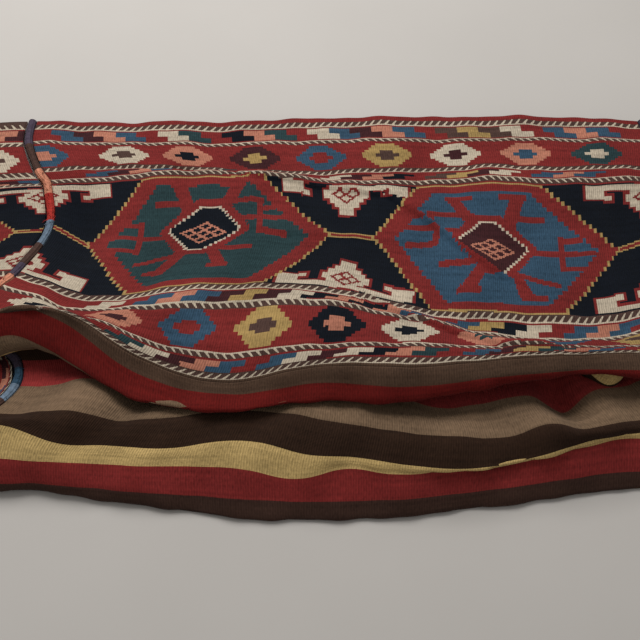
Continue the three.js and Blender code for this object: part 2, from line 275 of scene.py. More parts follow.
# %% The colours of the yarns
YARNS = {
    "red": "68211f", "navy": "0a0e15", "blue": "2b4152", "teal": "213335", "white": "a39683",
    "salmon": "996350", "gold": "8c7346", "brown": "42302a", "maroon": "34191b",
    "stripe brown": "473529", "stripe red": "7a2927", "tan": "66523f", "stripe gold": "b69a64",
    "dark brown": "2c1d14", "last brown": "3a2821", "purple": "433a46", "grey blue": "5c6a78",
    # The last yarn is the stripe red made darker, as painted shade for the red stripe that lies under the
    # lip.
    "seam salmon": "b5785f", "seam red": "9c3029", "stripe red in painted shade": "5b1512",
}
NAMES = list(YARNS)


def linear(hex_colour):
    """sRGB hex to linear light: the standard curve, near a power of 2.4."""
    parts = np.array([int(hex_colour[i:i + 2], 16) / 255 for i in (0, 2, 4)])
    return np.where(parts <= 0.04045, parts / 12.92, ((parts + 0.055) / 1.055) ** 2.4)


LINEAR = np.array([linear(YARNS[name]) for name in NAMES])
(RED, NAVY, BLUE, TEAL, WHITE, SALMON, GOLD, BROWN, MAROON, STRIPE_BROWN, STRIPE_RED, TAN,
 STRIPE_GOLD, DARK_BROWN, LAST_BROWN, PURPLE, GREY_BLUE, SEAM_SALMON, SEAM_RED,
 STRIPE_RED_IN_PAINTED_SHADE) = range(len(NAMES))
print(len(NAMES), "yarns")


# %% Shapes that a weaver can make
BAR_PITCH = 36.3   # length of one bar in the narrow bands


def stepped(value, step):
    """A length rounded down to whole steps, in its middle."""
    return (np.floor(value / step) + 0.5) * step


def block(ink, u, v, colour, u0, u1, v0, v1):
    """A plain rectangle."""
    ink[(u >= u0) & (u < u1) & (v >= v0) & (v < v1)] = colour


def diamond(ink, u, v, colour, middle, half, flat, step):
    """A stepped diamond: its half width falls from half to flat as it goes up or down."""
    rise = np.abs(stepped(v - middle[1], step))
    width = half[0] - (half[0] - flat) * rise / half[1]
    ink[(np.abs(v - middle[1]) < half[1]) & (np.abs(u - middle[0]) < width)] = colour


def bars(ink, u, v, v0, v1, start, colours, shift):
    """A narrow band of short bars, its lower half moved half a bar along."""
    lower = v >= (v0 + v1) / 2
    index = np.floor((u - start - shift * lower) / BAR_PITCH).astype(int)
    inside = (v >= v0) & (v < v1)
    row = np.array(colours)[np.clip(index, 0, len(colours) - 1)]
    row = np.where((index < 0) | (index >= len(colours)), RED, row)
    ink[inside] = row[inside]


print("a bar is", BAR_PITCH, "mm long")

# %% [markdown]
# ## The patterned panel
# From the rim down: a red edge, hook rows, a narrow band of bars, a band of diamonds,
# then the dark field with its two six-sided medallions, and the same borders again in
# mirror order. The numbers are places on the cloth in millimetres, along and down.

# %% Borders of the front panel
TOP_FIELD, FOOT_FIELD = 162, 386
HOOK_ROWS = [(9, 23, True), (52, 61, False), (121, 131, True), (149, 159, False),
             (386, 398, True), (421, 432, False), (490, 498, False), (516, 526, True)]
BAND_1 = [BLUE, MAROON, SALMON, BLUE, RED, WHITE, TEAL, RED, NAVY, SALMON, TEAL, RED, WHITE,
          BLUE, MAROON, SALMON, BLUE, RED, BROWN, GOLD, BROWN, WHITE, RED, BLUE, SALMON, BLUE]
BAND_2 = [RED, BLUE, MAROON, SALMON, BLUE, RED, WHITE, TEAL, RED, SALMON, TEAL, RED, WHITE,
          MAROON, SALMON, NAVY, RED, BROWN, GOLD, MAROON, WHITE, RED, BLUE, SALMON, BLUE, RED]
BAND_3 = [RED, WHITE, RED, BLUE, SALMON, BLUE, MAROON, GOLD, MAROON, WHITE, NAVY, SALMON, NAVY,
          SALMON, BLUE, RED, BLUE, GOLD, NAVY, WHITE, RED, BLUE, SALMON, BLUE, RED, TEAL]
BAND_4 = [RED, TEAL, WHITE, MAROON, SALMON, BLUE, RED, BLUE, WHITE, MAROON, WHITE, NAVY,
          SALMON, TEAL, RED, BLUE, MAROON, GOLD, TEAL, SALMON, BLUE, RED, GOLD, RED]
UPPER_DIAMONDS = [(12, BLUE, SALMON), (148, WHITE, BROWN), (256, SALMON, NAVY),
                  (370, MAROON, GOLD), (482, BLUE, RED), (594, GOLD, BROWN),
                  (710, WHITE, MAROON), (828, SALMON, BLUE), (948, TEAL, WHITE)]
LOWER_DIAMONDS = [(84, WHITE, NAVY), (196, SALMON, MAROON), (304, BLUE, RED), (416, GOLD, BROWN),
                  (524, NAVY, SALMON), (630, WHITE, NAVY), (742, SALMON, TEAL),
                  (858, BLUE, RED), (972, GOLD, BROWN)]
BAR_ROWS = [  # top, foot, start of the first bar, colours, how far the lower half is moved
    (26, 49, 30, BAND_1, 18), (134, 147, 52, BAND_2, -18),
    (401, 419, 118, BAND_3, -18), (500, 514, 182, BAND_4, -18)]
DIAMOND_ROWS = [(91, UPPER_DIAMONDS), (460, LOWER_DIAMONDS)]
DIAMOND_HALF, DIAMOND_FLAT, DIAMOND_STEP = (45, 27), 14, 5.5
DIAMOND_CROSS = ((20, 4), (11, 11))   # half sizes of the two blocks of its cross
BORDERS_END = 526                     # the first plain stripe starts here
FAR = 1e4                             # past every edge of the cloth
NO_HOOKS = -1.0                       # hook height of cloth outside the hook rows
print(len(HOOK_ROWS), "hook rows,", len(BAR_ROWS), "bands of bars")


# %% Painting the borders
def hook_height(v):
    """How far down a hook row a place is, from 0 at its toothed side to 1, or below 0."""
    height = np.full(v.shape, NO_HOOKS)
    for v0, v1, flipped in HOOK_ROWS:
        share = (v - v0) / (v1 - v0)
        height = np.where((share >= 0) & (share <= 1), share if flipped else 1 - share, height)
    return height


def diamond_row(ink, u, v, middle, motifs):
    """Stepped diamonds with a small cross in each."""
    for place, colour, heart in motifs:
        diamond(ink, u, v, colour, (place, middle), DIAMOND_HALF, DIAMOND_FLAT, DIAMOND_STEP)
        for along, down in DIAMOND_CROSS:
            block(ink, u, v, heart, place - along, place + along, middle - down, middle + down)


def borders(ink, u, v):
    """The borders above and below the field."""
    for v0, v1, flipped in HOOK_ROWS:
        block(ink, u, v, BROWN, -FAR, FAR, v0, v1)
    for v0, v1, start, colours, shift in BAR_ROWS:
        bars(ink, u, v, v0, v1, start, colours, shift)
    for middle, motifs in DIAMOND_ROWS:
        diamond_row(ink, u, v, middle, motifs)
    block(ink, u, v, STRIPE_BROWN, -FAR, FAR, BORDERS_END, FAR)


print("diamonds", [len(motifs) for middle, motifs in DIAMOND_ROWS])

# %% Medallions
OUTLINE_SIDE, OUTLINE_END = 4, 3   # gold line on the slanting sides, and at top and foot
FRAME_SIDE, FRAME_END = 34, 12     # red frame inside it, measured in the same way
FIELD_STEP = 8                     # mm down from step to step of a slant
CENTRE_SKEW = 0.22                 # how far the centre leans along for each mm down
CENTRE_FLAT, CENTRE_STEP = 14, 5   # half width of its flat ends, and its step down
RED_RING, WHITE_RING = 15, 3.6     # widths of the two rings round the heart
RING_DOWN, RING_FLAT = 0.7, 0.6    # a ring's width down and at its flats, as shares of that
LATTICE_HALF, LATTICE_LOWER = (37, 19), 5   # and how far it lies under the middle
LATTICE_REACH = 1.08               # how far the lattice goes, in half sizes
LATTICE_LINES, LATTICE_LINE = 1.5, 0.16     # lines to a half size, and half a line's width


def medallion(ink, u, v, left, right, top, foot, inner):
    """A six-sided frame as tall as the field: straight slants in steps, from the left and
    right corners to where the top and the foot begin and end."""
    row = stepped(v, FIELD_STEP)
    rising = row < (left[1] + right[1]) / 2
    low = np.where(rising, np.interp(row, [TOP_FIELD, left[1]], [top[0], left[0]]),
                   np.interp(row, [left[1], FOOT_FIELD], [left[0], foot[0]]))
    high = np.where(rising, np.interp(row, [TOP_FIELD, right[1]], [top[1], right[0]]),
                    np.interp(row, [right[1], FOOT_FIELD], [right[0], foot[1]]))
    for inset, ends, colour in ((0, 0, GOLD), (OUTLINE_SIDE, OUTLINE_END, RED),
                                (OUTLINE_SIDE + FRAME_SIDE, OUTLINE_END + FRAME_END, inner)):
        ink[(v >= TOP_FIELD + ends) & (v < FOOT_FIELD - ends)
            & (u > low + inset) & (u < high - inset)] = colour


def centre(ink, u, v, middle, half, heart, way):
    """The stepped diamond in a medallion's middle, skewed a little, with its lattice."""
    u = u + way * CENTRE_SKEW * (v - middle[1])
    for extra, colour in ((RED_RING, RED), (0, WHITE), (-WHITE_RING, heart)):
        diamond(ink, u, v, colour, middle, (half[0] + extra, half[1] + extra * RING_DOWN),
                CENTRE_FLAT + extra * RING_FLAT, CENTRE_STEP)
    across = (u - middle[0]) / LATTICE_HALF[0]
    rise = (v - middle[1] - LATTICE_LOWER) / LATTICE_HALF[1]
    slants = across + rise, across - rise
    lines = [slant * LATTICE_LINES + 0.5 for slant in slants]
    near = np.minimum(*(np.abs(line - np.round(line)) for line in lines))
    inside = (np.abs(slants[0]) < LATTICE_REACH) & (np.abs(slants[1]) < LATTICE_REACH)
    ink[inside & (near < LATTICE_LINE)] = SALMON


print("red frame", FRAME_SIDE, "mm wide on the slants")

# %% The arms of a medallion
ARMS = [  # strokes from the medallion's middle: start, end, half width
    ((-28, -30), (-62, -80), 11), ((-74, -83), (-30, -83), 4.5), ((-106, -52), (-28, -52), 4.5),
    ((28, -30), (46, -80), 11), ((18, -84), (62, -84), 4.5), ((28, -50), (90, -50), 5),
    ((60, 8), (172, 9), 4.5), ((117, -17), (117, 38), 5.5), ((117, -15), (152, -15), 4.5),
    ((117, 34), (160, 34), 4.5), ((-152, -46), (-101, -38), 4), ((-176, -26), (-60, -20), 4.5),
    ((-101, -42), (-101, 4), 5.5), ((-148, 6), (-99, 2), 5), ((-90, 38), (-20, 34), 5),
    ((-16, 34), (-44, 76), 11), ((-58, 79), (-24, 79), 5), ((48, 50), (108, 64), 4),
    ((30, 42), (56, 84), 11), ((52, 84), (84, 86), 4.5)]
ARM_STEPS = (2.5, 4)   # steps of an arm's sides, along and down
ARM_END = 2            # how far a level stroke runs past its two ends
ARM_DOWN = 1.05        # an arm is this much larger down than along, up to its listed height


def stroke(ink, u, v, colour, start, end, half):
    """A bar round a line from start to end, its sides in steps."""
    du, dv = end[0] - start[0], end[1] - start[1]
    along, down = stepped(u - start[0], ARM_STEPS[0]), stepped(v - start[1], ARM_STEPS[1])
    t = np.clip((along * du + down * dv) / (du * du + dv * dv), 0, 1)
    if abs(dv) > abs(du) / 2:
        ink[(np.abs(along - t * du) < half) & (np.abs(down - t * dv) < half / 2)] = colour
    else:
        ink[(np.abs(along - t * du) < ARM_END) & (np.abs(v - start[1] - t * dv) < half)] = colour


def arms(ink, u, v, middle, size, way):
    """Branching arms that grow from the centre, mirrored where way is -1."""
    for start, end, half in ARMS:
        points = [(middle[0] + way * size * x, middle[1] + y * min(size * ARM_DOWN, 1))
                  for x, y in (start, end)]
        stroke(ink, u, v, RED, *points, half)


print(len(ARMS), "strokes make a medallion's arms")

# %% White figures and connectors
FIGURE_LINE = 3.5      # red line round a white figure
FIGURE_TOP = 4         # how far a figure lies from the field's edge
FIGURE_ROOF = ((-FAR, 104, 12), (74, 108, 28))   # long bar and its end blocks: from, to, foot
FIGURE_BLOCKS = (  # from, to, top, foot: the hook blocks, then the arrow row by row
    (62, 74, 22, 31), (-FAR, 20, 4, 14), (-FAR, 29, 14, 20), (-FAR, 38, 20, 34),
    (-FAR, 29, 34, 42), (-FAR, 21, 42, 50), (-FAR, 12, 50, 63))
HEART_DEEP, HEART_HALF = 26, (22, 14)    # a small red diamond drawn in the arrow
HEART_LINE = 0.15      # half the width of its lines, in half sizes
CONNECTOR_HALF, CONNECTOR_RED = 5, 2.6   # half widths of the gold and of the red on it


def field_figure(ink, u, v, place, edge, way):
    """A white figure at the field's edge: a long bar with hook blocks and an arrow."""
    depth = (v - edge) * way
    apart = np.abs(u - place)
    for grow, colour in ((FIGURE_LINE, RED), (0, WHITE)):
        for near, far, foot in FIGURE_ROOF:
            ink[(apart > near - grow) & (apart < far + grow)
                & (depth > FIGURE_TOP) & (depth < foot + grow)] = colour
        for near, far, top, foot in FIGURE_BLOCKS:
            ink[(apart > near - grow) & (apart < far + grow)
                & (depth > top - grow) & (depth < foot + grow)] = colour
    middle = edge + way * HEART_DEEP
    across, rise = (u - place) / HEART_HALF[0], (v - middle) / HEART_HALF[1]
    a, b = np.abs(across + rise), np.abs(across - rise)
    lines = (a < HEART_LINE) | (b < HEART_LINE) | (a > 1 - HEART_LINE) | (b > 1 - HEART_LINE)
    ink[(a < 1 + HEART_LINE) & (b < 1 + HEART_LINE) & lines] = RED


def connector(ink, u, v, start, end):
    """A thin red line edged with gold between two medallions."""
    line = start[1] + (u - start[0]) * (end[1] - start[1]) / (end[0] - start[0])
    between = (u >= start[0]) & (u < end[0])
    ink[between & (np.abs(v - line) < CONNECTOR_HALF)] = GOLD
    ink[between & (np.abs(v - line) < CONNECTOR_RED)] = RED


print(len(FIGURE_BLOCKS), "blocks in a white figure below its roof")

# %% Cloth that the creases hide
TUCKS = [  # cloth lost in a crease: the crease, how much is lost, and over what it evens out
    ([(350, 154), (436, 163), (514, 168), (600, 184)], 12, 60),
    ([(624, 204), (658, 232), (692, 263), (734, 293), (785, 322)], 15, 50),
    ([(560, 380), (588, 388), (652, 419), (726, 451), (768, 482), (850, 488)], 9, 40),
    ([(0, 500), (0, 150)], 16, 110),
]
TUCK_END = 14   # a tuck closes up over this length past its ends


def tucked(u, v):
    """Where the pattern really is at a place: below a crease it runs ahead by what the
    crease hides, and evens out farther on."""
    shift_u, shift_v = np.zeros(u.shape), np.zeros(u.shape)
    for points, lost, evens in TUCKS:
        best = np.full(u.shape, 1e9)
        ahead = [np.zeros(u.shape), np.zeros(u.shape)]
        for (u0, v0), (u1, v1) in zip(points, points[1:]):
            du, dv = u1 - u0, v1 - v0
            length = math.hypot(du, dv)
            t = ((u - u0) * du + (v - v0) * dv) / length ** 2
            side = ((v - v0) * du - (u - u0) * dv) / length
            held = np.clip(t, 0, 1)
            distance = np.hypot(u - u0 - held * du, v - v0 - held * dv)
            nearer = distance < best
            best = np.where(nearer, distance, best)
            closing = np.exp(-np.abs(t - held) * length / TUCK_END)
            amount = lost * np.exp(-np.abs(side) / evens) * (side > 0) * closing
            ahead = [np.where(nearer, -dv / length * amount, ahead[0]),
                     np.where(nearer, du / length * amount, ahead[1])]
        shift_u += ahead[0]
        shift_v += ahead[1]
    return u + shift_u, v + shift_v


print("the creases hide up to", max(lost for points, lost, evens in TUCKS), "mm")

# %% The whole front panel
CONNECTORS = (((-20, 255), (78, 282)), ((474, 267), (560, 268)), ((968, 279), (1060, 258)))
FIGURES = ((0, 0), (510, 520), (1030, 1030))   # places along, at the field's top and foot
MEDALLIONS = [  # left and right corners, top from and to, foot from and to, ground
    ((72, 282), (482, 267), (162, 362), (182, 396), TEAL),
    ((552, 268), (976, 279), (634, 848), (656, 868), BLUE)]
HEARTS = [  # middle, size and way of the arms, then middle, half sizes, yarn and skew
    ((268, 258), 0.92, -1, (268, 256), (62, 42), NAVY, 1),
    ((757, 272), 1.0, 1, (757, 272), (64, 45), MAROON, -0.6)]


def field(ink, u, v, connectors, figures, medallions, hearts):
    """The dark field between the borders, painted from the back to the front."""
    block(ink, u, v, NAVY, -FAR, FAR, TOP_FIELD, FOOT_FIELD)
    for start, end in connectors:
        connector(ink, u, v, start, end)
    for upper, lower in figures:
        field_figure(ink, u, v, upper, TOP_FIELD, 1)
        field_figure(ink, u, v, lower, FOOT_FIELD, -1)
    for left, right, top, foot, ground in medallions:
        medallion(ink, u, v, left, right, top, foot, ground)
    for arms_middle, size, way, middle, half, heart, skew in hearts:
        arms(ink, u, v, arms_middle, size, way)
        centre(ink, u, v, middle, half, heart, skew)


def front_pattern(u, v):
    """The whole front panel, as the number of a yarn at each place."""
    u, v = tucked(u, v)
    ink = np.full(u.shape, RED)
    borders(ink, u, v)
    field(ink, u, v, CONNECTORS, FIGURES, MEDALLIONS, HEARTS)
    return ink


def front_hooks(u, v):
    """Hook height on the front panel, with the rows where the creases leave them."""
    return hook_height(tucked(u, v)[1])


print(len(MEDALLIONS), "medallions in the field")

# %% The striped bottom and the back panel
# The stripe 32 mm down, under the lip, takes the darker copy of stripe red: painted shade.
STRIPES = [(0, STRIPE_BROWN), (32, STRIPE_RED_IN_PAINTED_SHADE), (75, TAN), (118, STRIPE_GOLD), (160, DARK_BROWN),
           (203, STRIPE_RED), (245, TAN), (290, DARK_BROWN), (335, STRIPE_GOLD),
           (377, STRIPE_RED), (419, LAST_BROWN)]


def bottom_pattern(u, v):
    """Plain stripes across the bottom, their edges along the weft."""
    starts, colours = zip(*STRIPES)
    index = np.clip(np.searchsorted(starts, v, side="right") - 1, 0, len(STRIPES) - 1)
    return np.array(colours)[index]


LAST_STRIPE_RUNS_ON = 30   # on to the back panel
BORDER_SHOWS_FROM = 890    # along, where the stripe stops short and the border shows


def under_stripe(u, v):
    """Where the bottom's last stripe covers the foot of the back panel."""
    return (v < LAST_STRIPE_RUNS_ON) & (u < BORDER_SHOWS_FROM)


def back_pattern(u, v):
    """The back panel has the front's pattern, turned so that its rim is at its far end. The
    bottom's last stripe runs a little way on to it, but not at the right end."""
    ink = front_pattern(CLOTH_WIDTH - u, PANEL_HEIGHT - v)
    ink[under_stripe(u, v)] = LAST_BROWN
    return ink


def back_hooks(u, v):
    """Hook height on the back panel, where no stripe covers it."""
    return np.where(under_stripe(u, v), NO_HOOKS, hook_height(PANEL_HEIGHT - v))


print(len(STRIPES), "stripes")

# %% The end panels' pattern
END_BORDER_START = 92   # where an end panel's borders begin in the front's
END_RIM = 10            # brown edge at its rim
END_CONNECTORS = (((-20, 272), (60, 276)), ((400, 272), (480, 276)))
END_FIGURES = ((0, 0), (BOTTOM_DEPTH, BOTTOM_DEPTH))
END_MEDALLION = [((38, 275), (424, 275), (134, 328), (134, 328), TEAL)]
END_HEART = [((230, 272), 0.8, 1, (230, 272), (58, 40), MAROON, 0)]


def end_pattern(u, v):
    """An end panel: the same borders, and one medallion in the field."""
    ink = np.full(u.shape, RED)
    borders(ink, u + END_BORDER_START, v)
    field(ink, u, v, END_CONNECTORS, END_FIGURES, END_MEDALLION, END_HEART)
    block(ink, u, v, BROWN, -FAR, FAR, -FAR, END_RIM)
    return ink


def end_hooks(u, v):
    """Hook height on an end panel, the same all along it."""
    return hook_height(v)


print("end panels", BOTTOM_DEPTH, "x", PANEL_HEIGHT, "mm")

# %% [markdown]
# ## From surface to closed sheet
# Cloth has thickness, so each piece is a closed sheet: a fine outer face, which carries
# the pattern in its cells, a coarser inner face, which only the dark inside shows, and a
# narrow rim that stitches the two. Each cell of the outer face takes one yarn, so the
# steps of the pattern are as crisp as the weaver's.


# %% Cells of a grid of places
def normals_of(middle):
    """The direction out of the cloth: down the cloth crossed with along it."""
    across = np.gradient(middle, axis=1)
    down = np.gradient(middle, axis=0)
    out = np.cross(down, across)
    return out / np.linalg.norm(out, axis=-1, keepdims=True)


def cell_corners(grid):
    """A grid's values at the four corners of every cell."""
    return np.stack([grid[:-1, :-1], grid[1:, :-1], grid[1:, 1:], grid[:-1, 1:]], axis=-1)


def cell_middles(grid):
    """A grid's values in the middle of every cell: half way between opposite corners."""
    return (grid[:-1, :-1] + grid[1:, 1:]) / 2


def rim_faces(fine, coarse, ratio):
    """Faces between a fine edge and a coarse one that runs beside it."""
    return [list(fine[k * ratio:(k + 1) * ratio + 1]) + [coarse[k + 1], coarse[k]]
            for k in range(len(coarse) - 1)]


rim_check = normals_of(strip(np.linspace(0, 1, 9), np.linspace(0, BACK_FLAT, 5)))
print("out of the cloth in the middle of the rim", rim_check[0, 4].round(2))

# %% Hook heights in the cells
NUDGE = 0.01   # mm down the cloth, to measure how fast the hook height changes


def cell_hooks(u, v, hooked):
    """The hook row height at every corner of the cells; a whole cell is in a row or out. It
    is the height in the cell's middle plus its slope times the way down to the corner."""
    height = hooked(cell_middles(u), cell_middles(v))
    slope = (hooked(cell_middles(u), cell_middles(v) + NUDGE) - height) / NUDGE
    down = cell_corners(v)
    reach = down - down.mean(axis=-1, keepdims=True)
    at_corners = height[..., None] + slope[..., None] * reach
    return np.where(height[..., None] < 0, NO_HOOKS, at_corners).ravel()


print("front hooks 15 mm down", float(front_hooks(np.array([515.0]), np.array([15.0]))[0]))

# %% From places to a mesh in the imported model's frame
SHIFT_SAMPLES = 33, 305   # places along and down the strip that its box is taken from


def packed_shift():
    """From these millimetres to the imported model: its cloth's box less this cloth's box."""
    columns, rows = SHIFT_SAMPLES
    middle = strip(np.linspace(0, 1, columns), np.linspace(0, STRIP_LENGTH, rows))
    out = normals_of(middle) * CLOTH_THICK / 2
    both = np.concatenate([middle + out, middle - out]).reshape(-1, 3) * MM
    low, high = (np.array(corner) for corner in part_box("body_cloth"))
    shift = (low + high - both.min(axis=0) - both.max(axis=0)) / 2
    shift[2] = 0
    return shift


def write_mesh(name, points, faces, lengths, corner_ink, hook, material):
    """Put places, faces, lengths on the cloth, yarns and hook heights into one mesh."""
    mesh = bpy.data.meshes.new(name)
    mesh.from_pydata((points * MM + SHIFT).tolist(), [], faces)
    mesh.polygons.foreach_set("use_smooth", np.ones(len(mesh.polygons), bool))
    rgba = np.concatenate([LINEAR[corner_ink], np.ones((len(corner_ink), 1))], axis=1)
    for key, kind, domain, part, values in (
            ("woven_mm", "FLOAT_VECTOR", "POINT", "vector", lengths),
            ("dye", "FLOAT_COLOR", "CORNER", "color", rgba),
            ("hook", "FLOAT", "CORNER", "value", hook)):
        attribute = mesh.attributes.new(key, kind, domain)
        attribute.data.foreach_set(part, values.astype(np.float32).ravel())
    mesh.materials.append(material)
    mesh.update()
    piece = bpy.data.objects.new(name, mesh)
    bpy.context.scene.collection.objects.link(piece)
    print(name, len(mesh.polygons), "faces")
    return piece


SHIFT = packed_shift()
print("shift along and across the bag", SHIFT)


# %% A closed sheet of cloth
def cloth_piece(name, middle, u, v, thick, ratio, pattern, material, hooked=None):
    """A closed sheet round a middle surface, its yarns in its cells: the fine face half the
    thickness out along the normals, the coarse one half in, and a rim between them."""
    out = normals_of(middle)
    outer = middle + out * thick / 2
    inner = (middle - out * thick / 2)[::ratio, ::ratio]
    outer[..., 2] = np.maximum(outer[..., 2], 0)
    inner[..., 2] = np.maximum(inner[..., 2], 0)
    fine = np.arange(outer[..., 0].size).reshape(outer.shape[:2])
    coarse = fine.size + np.arange(inner[..., 0].size).reshape(inner.shape[:2])
    rims = (rim_faces(fine[0, ::-1], coarse[0, ::-1], ratio) + rim_faces(fine[-1], coarse[-1], ratio)
            + rim_faces(fine[:, 0], coarse[:, 0], ratio)
            + rim_faces(fine[::-1, -1], coarse[::-1, -1], ratio))
    faces = [*cell_corners(fine).reshape(-1, 4).tolist(),
             *cell_corners(coarse).reshape(-1, 4)[:, ::-1].tolist(),
             *[[int(i) for i in face[::-1]] for face in rims]]
    points = np.concatenate([outer.reshape(-1, 3), inner.reshape(-1, 3)])
    lengths = np.stack([u, v, np.zeros(u.shape)], axis=-1)
    lengths = np.concatenate([lengths.reshape(-1, 3), lengths[::ratio, ::ratio].reshape(-1, 3)])
    rim_starts = lengths[[face[0] for face in rims]]
    inks = [pattern(cell_middles(u), cell_middles(v)).ravel(),
            pattern(cell_middles(u[::ratio, ::ratio]), cell_middles(v[::ratio, ::ratio])).ravel(),
            pattern(rim_starts[:, 0], rim_starts[:, 1])]
    corners = np.concatenate([np.full(len(inks[0]) + len(inks[1]), 4), [len(face) for face in rims]])
    hook = np.full(corners.sum(), NO_HOOKS)
    if hooked:
        hook[:4 * len(inks[0])] = cell_hooks(u, v, hooked)
    ink = np.repeat(np.concatenate(inks), corners)
    return write_mesh(name, points, faces, lengths, ink, hook, material)


print("the strip is", CLOTH_THICK, "mm thick and an end panel", END_THICK, "mm")

# %% [markdown]
# ## The cloth's finish
# Weft-faced wool: the wefts hide the warps, which show only as ribs about 3.6 mm apart
# that run down the cloth. Hand-dyed yarn changes a little from one weft to the next, and
# the fibre gives a dull surface with a faint sheen. The ribs and wefts are bump, and each
# rib's crest is also painted a little lighter than its sides, as painted light; the uneven
# dye is noise stretched along the wefts, both in millimetres of cloth. The small
# white hooks of the borders are drawn here too, from each cell's height in its row: a
# tooth leans along the row as it rises, and widens towards its foot.


# %% Nodes of the woven wool
def add(tree, kind, inputs=None, **settings):
    """Add one node, set its settings, and link or set its inputs."""
    node = tree.nodes.new(kind)
    for key, value in settings.items():
        setattr(node, key, value)
    for key, value in (inputs or {}).items():
        if isinstance(value, bpy.types.NodeSocket):
            tree.links.new(value, node.inputs[key])
        else:
            node.inputs[key].default_value = value
    return node


print("add() takes a tree, a kind of node, its inputs and its settings")

# %% Figures of the weave and of its dye
RIB_PITCH = 3.6       # mm between warps
RIB_DEPTH = 0.0008    # m that the ribs seem to rise
PAINTED_RIB_LIGHT = 0.09      # painted light: share by which a rib's crest is painted lighter than its side
WEFT_PITCH = 1.6      # mm; the real wefts are half as far apart, too fine to show
WEFT_RISE = 0.35      # height of the wefts and of the fuzz, as shares of a rib's
FUZZ_RISE = 2.4
BUMP_STRENGTH = 0.5
HOOK_PITCH = 12.4     # mm from hook to hook in the border rows
HOOK_LEAN = 0.95      # how far a hook leans, as a share of the pitch
TOOTH_TIP = 0.17      # width of a tooth at its tip, as a share of the pitch
TOOTH_GROWS = 0.31    # and how much wider it is at its foot
HOOK_STARTS = 0.08    # below this height a row is all brown
HOOK_BASE = 0.79      # and above this one all white
WANDER_SCALE, WANDER = 0.03, (3.0, 2.0, 0.0)   # per mm, and mm that the ribs stray
UNEVEN_DYE = {  # patches per mm along and down the cloth, detail, how much lighter or darker
    "abrash": ((0.006, 0.16, 1), 4.0, 0.8), "fleck": ((0.34, 0.16, 1), 3.0, 1.0),
    "patch": ((0.012, 0.012, 1), 2.0, 0.6)}


def wool_sums(painted_rib_light):
    """The sums behind the wool, in order: the name of each, its operation, and what goes in,
    which is a number, an attribute, a noise or a sum above it."""
    sums = [("rib turn", "MULTIPLY", "along", 2 * math.pi / RIB_PITCH),
            ("rib", "SINE", "rib turn"),
            ("weft turn", "MULTIPLY", "down", 2 * math.pi / WEFT_PITCH),
            ("weft", "SINE", "weft turn"),
            # The colour's multiplier: painted light on each rib's crest, then the uneven dye added on.
            ("painted_crest_light_and_dye", "MULTIPLY_ADD", "rib", painted_rib_light, 1.0)]
    for key, (scale, detail, size) in UNEVEN_DYE.items():
        sums += [("off middle", "SUBTRACT", key, 0.5),
                 ("painted_crest_light_and_dye", "MULTIPLY_ADD", "off middle", size, "painted_crest_light_and_dye")]
    return sums + [("pitches", "DIVIDE", "along", HOOK_PITCH),
                   ("leaning", "MULTIPLY_ADD", "hook", HOOK_LEAN, "pitches"),
                   ("phase", "FRACT", "leaning"),
                   ("width", "MULTIPLY_ADD", "hook", TOOTH_GROWS, TOOTH_TIP),
                   ("tooth", "LESS_THAN", "phase", "width"),
                   ("base", "GREATER_THAN", "hook", HOOK_BASE),
                   ("either", "MAXIMUM", "tooth", "base"),
                   ("in row", "GREATER_THAN", "hook", HOOK_STARTS),
                   ("white", "MULTIPLY", "either", "in row"),
                   ("woven height", "MULTIPLY_ADD", "weft", WEFT_RISE, "rib"),
                   ("fuzz", "SUBTRACT", "fleck", 0.5),
                   ("height", "MULTIPLY_ADD", "fuzz", FUZZ_RISE, "woven height")]


print(len(wool_sums(PAINTED_RIB_LIGHT)), "sums in the wool")


